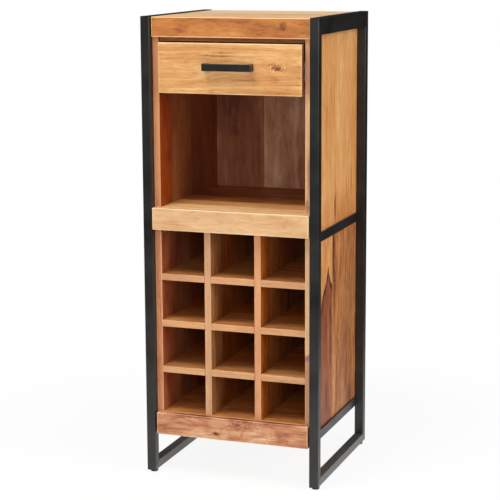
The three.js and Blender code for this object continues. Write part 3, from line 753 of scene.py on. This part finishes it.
def glue_up(node, across, seed, tone, spread=0.05):
    """Planks of 60 to 95 mm for a board, with their hearts, tones and warmths chosen by a seed."""
    axis = "XYZ".index(across)
    low, high = (corner[axis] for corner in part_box(node))
    chance = random.Random(seed)
    planks, start = [], low
    while start < high - NARROWEST_PLANK and len(planks) < PLANKS_AT_MOST - 1:
        heart_across = start - low + chance.uniform(*HEARTS_ASIDE)
        heart_depth = chance.choice((-1, 1)) * chance.uniform(*HEARTS_AWAY)
        plank_tone = tone + chance.uniform(-spread, spread)
        planks.append((start, heart_across, heart_depth, plank_tone, chance.uniform(*WARMTHS)))
        start += chance.uniform(*PLANK_WIDTHS)
    return planks


# Node, grain, direction across its planks, tone, how freshly its front is sanded, and palette
OTHER_BOARDS = [
    # The drawer ceiling's dark palette paints the shade in the gap above the drawer.
    ("bottom_board", "X", "Y", 0.54, 0, HONEY), ("drawer_ceiling", "X", "Y", 0.66, 0, UMBER),
    ("top_batten_left", "Y", "X", 0.50, 0, UMBER), ("top_batten_right", "Y", "X", 0.50, 0, UMBER),
    ("top_batten_back", "X", "Y", 0.50, 0, UMBER),
    ("rack_divider_1", "Z", "Y", 0.42, 0.5, HONEY), ("rack_divider_2", "Z", "Y", 0.42, 0.5, HONEY),
    ("rack_shelf_1", "X", "Y", 0.48, 0.4, HONEY), ("rack_shelf_2", "X", "Y", 0.48, 0.4, HONEY),
    ("rack_shelf_3", "X", "Y", 0.48, 0.4, HONEY),
    ("back_panel_lower", "Z", "X", 0.52, 0, SMOKY),
    ("drawer_box_front", "X", "Z", 0.68, 0, HONEY), ("drawer_box_back", "X", "Z", 0.68, 0, HONEY),
    ("drawer_side_left", "Y", "Z", 0.68, 0, HONEY), ("drawer_side_right", "Y", "Z", 0.68, 0, HONEY),
]
for number, (node, grain, across, tone, sanded, palette) in enumerate(OTHER_BOARDS):
    planks = glue_up(node, across, PLANK_SEED + number, tone)
    mango_wood("mango_" + node, node, grain, across, planks, palette=palette,
               seed=FIGURE_SEED + number, lean=0.03, sanded_front=sanded,
               worn=FAINTLY_WORN_AND_HIGHLIT if sanded else WORN_AND_HIGHLIT)
print("boards with planks by chance:", len(OTHER_BOARDS))

# %% [markdown]
# ## Plywood
#
# The drawer's bottom is birch plywood: a pale peeled veneer with a wide, faint figure. Peeling
# unrolls the log like paper, so the rings spread into broad waves instead of lines.

# %% Birch plywood
WAVE_STRETCH, WAVE_SCALE = (9, 3, 9), 2.0
HAIRS_PER_METRE = (420, 14, 420)

plywood, tree = new_material("birch_plywood")
place = add(tree, "TexCoord").outputs["Object"]
wide = add(tree, "Mapping", Vector=place, Scale=WAVE_STRETCH).outputs[0]
veneer = add(tree, "TexNoise", Vector=wide, Scale=WAVE_SCALE, Detail=4.0,
             Distortion=1.2).outputs["Fac"]
hair = add(tree, "Mapping", Vector=place, Scale=HAIRS_PER_METRE).outputs[0]
hair = add(tree, "TexNoise", Vector=hair, Scale=1.0, Detail=2.0).outputs["Fac"]
figure = add(tree, "Math", {"operation": "MULTIPLY_ADD"}, i0=hair, i1=0.35, i2=veneer).outputs[0]
colour = add(tree, "ValToRGB", Fac=figure)
colour.color_ramp.elements[0].position = 0.35
colour.color_ramp.elements[0].color = linear("#c79f6c")
colour.color_ramp.elements[1].position = 0.95
colour.color_ramp.elements[1].color = linear("#e6cb9f")
bump = add(tree, "Bump", Strength=0.2, Distance=0.0002, Height=hair)
veneered = add(tree, "BsdfPrincipled", BaseColor=colour.outputs["Color"], Roughness=0.55,
               Normal=bump.outputs[0])
add(tree, "OutputMaterial", Surface=veneered.outputs[0])
dress(["drawer_bottom"], plywood)
print("plywood dressed")

# %% [markdown]
# ## Powder-coated steel
#
# The frames are sprayed with powder that melts into a skin of plastic. It is satin black,
# slightly warm, and has a faint orange peel: shallow dimples a millimetre or two wide that
# stir the reflections. It is a coat of plastic, so it isn't metallic to the eye. Brooms and
# shoes reach the floor rails, so their coat is rubbed chalky. Low down the coat is also
# painted paler, a painted reflection of the white floor.

# %% Powder coat
PEEL_MM = 1.6
RUBS_PER_METRE = 14.0
SHINE_SWING = 0.06
# Painted reflection of the white floor: how much paler the coat is at the floor, up to what height
PAINTED_REFLECTION, PAINTED_REFLECTION_UP_TO = 0.26, 0.7


def powder_coat(name, nodes, fresh, chalky, roughness):
    """Satin powder coat with orange peel, rubbed spots and a painted floor reflection low down."""
    material, tree = new_material(name)
    place = add(tree, "TexCoord").outputs["Object"]
    peel = add(tree, "TexNoise", Vector=place, Scale=1000 / PEEL_MM, Detail=1.0).outputs["Fac"]
    rubbed = add(tree, "TexNoise", Vector=place, Scale=RUBS_PER_METRE, Detail=4.0,
                 Roughness=0.6).outputs["Fac"]
    shine = add(tree, "MapRange", Value=rubbed, FromMin=0.3, FromMax=0.7,
                ToMin=roughness - SHINE_SWING, ToMax=roughness + SHINE_SWING).outputs[0]
    height = add(tree, "SeparateXYZ", Vector=place).outputs["Z"]
    painted_reflection = add(tree, "MapRange", {"interpolation_type": "SMOOTHSTEP"}, Value=height,
                   FromMin=0.0, FromMax=PAINTED_REFLECTION_UP_TO, ToMin=PAINTED_REFLECTION, ToMax=0.0).outputs[0]
    rubbed_and_reflection = add(tree, "Math", {"operation": "MULTIPLY_ADD"}, i0=rubbed, i1=0.5, i2=painted_reflection)
    coat_colour = add(tree, "ValToRGB", Fac=rubbed_and_reflection.outputs[0])
    coat_colour.color_ramp.elements[0].position = 0.18
    coat_colour.color_ramp.elements[0].color = linear(fresh)
    coat_colour.color_ramp.elements[1].position = 0.85
    coat_colour.color_ramp.elements[1].color = linear(chalky)
    bump = add(tree, "Bump", Strength=0.12, Distance=0.0003, Height=peel)
    coat = add(tree, "BsdfPrincipled", BaseColor=coat_colour.outputs["Color"], Roughness=shine, IOR=1.5,
               Normal=bump.outputs[0])
    add(tree, "OutputMaterial", Surface=coat.outputs[0])
    dress(nodes, material)


sides = ("left", "right")
frame_nodes = [f"{piece}_{side}" for side in sides for piece in
               ("post_front", "post_back", "top_rail", "middle_bar", "lower_bar")]
floor_rails = [f"floor_rail_{side}" for side in sides]
powder_coat("powder_coated_frame", frame_nodes, "#11100f", "#3e3c39", 0.36)
powder_coat("powder_coated_floor_rails", floor_rails, "#1c1b1a", "#6a6864", 0.30)
powder_coat("powder_coated_handle", ["handle"], "#0f0f10", "#2a2a2a", 0.38)
print("powder-coated pieces:", len(frame_nodes) + len(floor_rails) + 1)

# %% [markdown]
# ## Moulded plastic and zinc
#
# The glides are black polyamide, moulded with a fine spark-eroded grain that spreads light.
# Runners and screws are zinc-plated: a dull warm grey, with the faint flakes of the plating.
# The thin skin of the passivated zinc hides a fifth of the metal's mirror. Real grain and
# flakes are about a tenth of a millimetre. They are drawn at about 0.6 and 2.4 mm, as coarse as
# they need to be to show.

# %% Glides
GRAIN_MM, SCUFF_MM = 0.625, 6.25

moulded, tree = new_material("moulded_polyamide")
place = add(tree, "TexCoord").outputs["Object"]
grit = add(tree, "TexNoise", Vector=place, Scale=1000 / GRAIN_MM, Detail=2.0).outputs["Fac"]
scuffs = add(tree, "TexNoise", Vector=place, Scale=1000 / SCUFF_MM, Detail=3.0).outputs["Fac"]
shade = add(tree, "ValToRGB", Fac=scuffs)
shade.color_ramp.elements[0].color = linear("#161616")
shade.color_ramp.elements[1].color = linear("#343331")
bump = add(tree, "Bump", Strength=0.3, Distance=0.0001, Height=grit)
polyamide = add(tree, "BsdfPrincipled", BaseColor=shade.outputs["Color"], Roughness=0.62, IOR=1.53,
                Normal=bump.outputs[0])
add(tree, "OutputMaterial", Surface=polyamide.outputs[0])
dress([f"glide_{end}_{side}" for end in ("front", "back") for side in sides], moulded)
print("glides dressed")

# %% Runners and screws
FLAKES_PER_METRE = 420.0
SMEAR_MM = 25.0

zinc, tree = new_material("zinc_plated_steel")
place = add(tree, "TexCoord").outputs["Object"]
flakes = add(tree, "TexVoronoi", Vector=place, Scale=FLAKES_PER_METRE).outputs["Distance"]
smears = add(tree, "TexNoise", Vector=place, Scale=1000 / SMEAR_MM, Detail=3.0).outputs["Fac"]
tint = add(tree, "ValToRGB", Fac=smears)
tint.color_ramp.elements[0].color = linear("#a09e9a")
tint.color_ramp.elements[1].color = linear("#c2bfba")
sheen = add(tree, "MapRange", Value=flakes, FromMin=0.0, FromMax=0.8, ToMin=0.32, ToMax=0.46)
plated = add(tree, "BsdfPrincipled", BaseColor=tint.outputs["Color"], Metallic=0.8,
             Roughness=sheen.outputs[0])
add(tree, "OutputMaterial", Surface=plated.outputs[0])
zinc_nodes = [f"runner_{member}_{side}" for member in ("cabinet", "middle", "drawer") for side in sides]
zinc_nodes += [f"handle_screw_{side}" for side in sides]
dress(zinc_nodes, zinc)
print("zinc-plated pieces:", len(zinc_nodes))

# %% [markdown]
# ## Screws in the back
#
# The back is screwed to the boards behind which it stands. A screw's pan head is a low disc
# with a rounded rim and a cross recess. One is modelled: a cylinder, its outer rim bevelled,
# and the two slots of the cross cut out with Boolean modifiers. The others are copies of it,
# each with its own mesh.

# %% One screw head
HEAD_RADIUS, HEAD_HEIGHT, RIM_ROUNDING = 0.0036, 0.0018, 0.0008
SLOT_LENGTH, SLOT_WIDTH, SLOT_DEPTH = 0.0040, 0.0009, 0.0011
TOLERANCE = 1e-6

back_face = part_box("back_panel_upper")[1].y
middle_of_top = (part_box("top_batten_back")[0].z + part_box("top_batten_back")[1].z) / 2
first_place = Vector((0, back_face + HEAD_HEIGHT / 2, middle_of_top))

bpy.ops.object.select_all(action="DESELECT")
bpy.ops.mesh.primitive_cylinder_add(vertices=28, radius=HEAD_RADIUS, depth=HEAD_HEIGHT,
                                    location=first_place, rotation=(math.pi / 2, 0, 0))
screw = bpy.context.object
bpy.ops.object.transform_apply(location=True, rotation=True, scale=True)
outer = back_face + HEAD_HEIGHT
for corner in screw.data.vertices:
    corner.select = abs(corner.co.y - outer) < TOLERANCE
for edge in screw.data.edges:
    edge.select = all(screw.data.vertices[end].select for end in edge.vertices)
for face in screw.data.polygons:
    face.select = face.normal.y > 0.9
bpy.ops.object.mode_set(mode="EDIT")
bpy.ops.mesh.bevel(offset=RIM_ROUNDING, segments=3)
bpy.ops.object.mode_set(mode="OBJECT")

for size in ((SLOT_LENGTH, SLOT_DEPTH * 2, SLOT_WIDTH), (SLOT_WIDTH, SLOT_DEPTH * 2, SLOT_LENGTH)):
    bpy.ops.mesh.primitive_cube_add(size=1, location=(first_place.x, outer, first_place.z), scale=size)
    slot = bpy.context.object
    bpy.context.view_layer.objects.active = screw
    cut = screw.modifiers.new("slot", "BOOLEAN")
    cut.object, cut.operation, cut.solver = slot, "DIFFERENCE", "EXACT"
    bpy.ops.object.modifier_apply(modifier="slot")
    bpy.data.objects.remove(slot)
print("one screw head has", len(screw.data.polygons), "faces")

# %% All screws in the back
EDGE_ROW, TOP_ROW, LOWER_PANEL_ROW = (-0.16, 0, 0.16), (-0.125, 0.125), (-0.11, 0.11)
ABOVE_THE_JOINT = 0.0042
UP_THE_DIVIDERS = (0.28, 0.40, 0.52)

shelf = (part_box("shelf_board")[0].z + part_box("shelf_board")[1].z) / 2
bottom = (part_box("bottom_board")[0].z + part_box("bottom_board")[1].z) / 2
divider = (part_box("rack_divider_2")[0].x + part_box("rack_divider_2")[1].x) / 2
rows = [(middle_of_top, TOP_ROW), (shelf + ABOVE_THE_JOINT, EDGE_ROW),
        (shelf - ABOVE_THE_JOINT, LOWER_PANEL_ROW), (bottom, EDGE_ROW)]
rows += [(height, (-divider, divider)) for height in UP_THE_DIVIDERS]
screws = [screw]
for height, places in rows:
    for along in places:
        bpy.ops.object.select_all(action="DESELECT")
        screw.select_set(True)
        bpy.context.view_layer.objects.active = screw
        bpy.ops.object.duplicate()
        bpy.ops.transform.translate(value=(along - first_place.x, 0, height - first_place.z))
        bpy.ops.object.transform_apply(location=True, rotation=True, scale=True)
        screws.append(bpy.context.object)
for number, piece in enumerate(screws, 1):
    piece.name = f"back_screw_{number}"
    piece.data.materials.append(zinc)
    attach(piece, "cabinet")
print("screws in the back:", len(screws))
